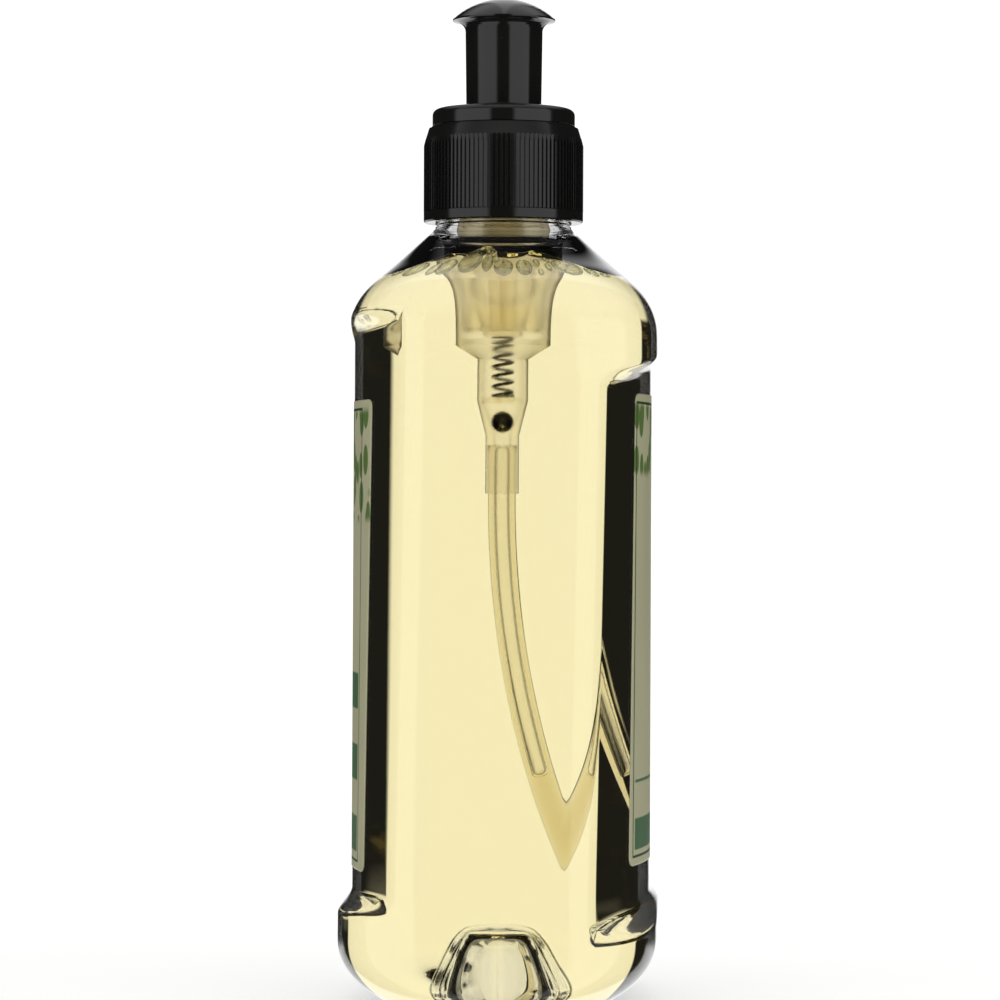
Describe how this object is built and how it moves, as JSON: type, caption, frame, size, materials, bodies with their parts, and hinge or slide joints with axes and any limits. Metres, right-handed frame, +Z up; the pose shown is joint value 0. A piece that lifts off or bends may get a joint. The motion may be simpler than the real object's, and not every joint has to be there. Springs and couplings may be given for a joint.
{
  "type": "liquid soap bottle",
  "caption": "Clear square-shouldered bottle of yellow liquid soap with bare label panels and a black screw-on lotion pump, locked down.",
  "frame": {"origin": "centre of the standing ring, on the surface that the bottle stands on", "axes": "+Z up along the pump's axis; -X faces the front label, +X the back label; the nozzle points to +Y"},
  "size_m": [0.0648, 0.086, 0.2051],
  "materials": {
    "clear_bottle": "clear blown plastic, gloss",
    "liquid_soap": "clear pale yellow liquid",
    "front_label": "printed film with bare fields of green",
    "back_label": "printed film, pale with a green border",
    "black_pump": "moulded, gloss",
    "milky_plastic": "natural translucent moulding",
    "white_plastic": "moulded",
    "gasket": "soft foamed sheet",
    "steel": "bright drawn wire and ground balls"
  },
  "bodies": {
    "bottle": {"bottle": "clear_bottle", "liquid_soap": "liquid_soap", "front_label": "front_label", "back_label": "back_label"},
    "pump": {"gasket": "gasket", "housing": "milky_plastic", "chaplet": "black_pump", "spring": "steel", "spring_seat": "white_plastic", "dip_tube": "milky_plastic"},
    "collar": {"collar": "black_pump"},
    "plunger": {"piston": "white_plastic", "piston_rod": "milky_plastic"},
    "head": {"head": "black_pump", "stem": "milky_plastic"},
    "inlet_ball": {"inlet_ball": "steel"},
    "outlet_ball": {"outlet_ball": "steel"}
  },
  "joints": [
    {"name": "pump_lift", "type": "slide", "parent": "bottle", "child": "pump", "axis": [0, 0, 1], "range_m": [0, 0.00635], "deforming": ["liquid_soap"]},
    {"name": "collar_turn", "type": "hinge", "parent": "pump", "child": "collar", "pos_m": [0, 0, 0.17], "axis": [0, 0, 1], "range_deg": [0, 540]},
    {"name": "plunger_rise", "type": "slide", "parent": "pump", "child": "plunger", "axis": [0, 0, 1], "range_m": [0, 0.013], "deforming": ["spring"]},
    {"name": "head_turn", "type": "hinge", "parent": "plunger", "child": "head", "pos_m": [0, 0, 0.19], "axis": [0, 0, 1], "continuous": true},
    {"name": "inlet_ball_rise", "type": "slide", "parent": "pump", "child": "inlet_ball", "axis": [0, 0, 1], "range_m": [0, 0.0012]},
    {"name": "outlet_ball_rise", "type": "slide", "parent": "head", "child": "outlet_ball", "axis": [0, 0, 1], "range_m": [0, 0.0012]}
  ],
  "couplings": [
    {"joint": "pump_lift", "follows": "collar_turn", "m_per_rad": 0.0006737}
  ]
}
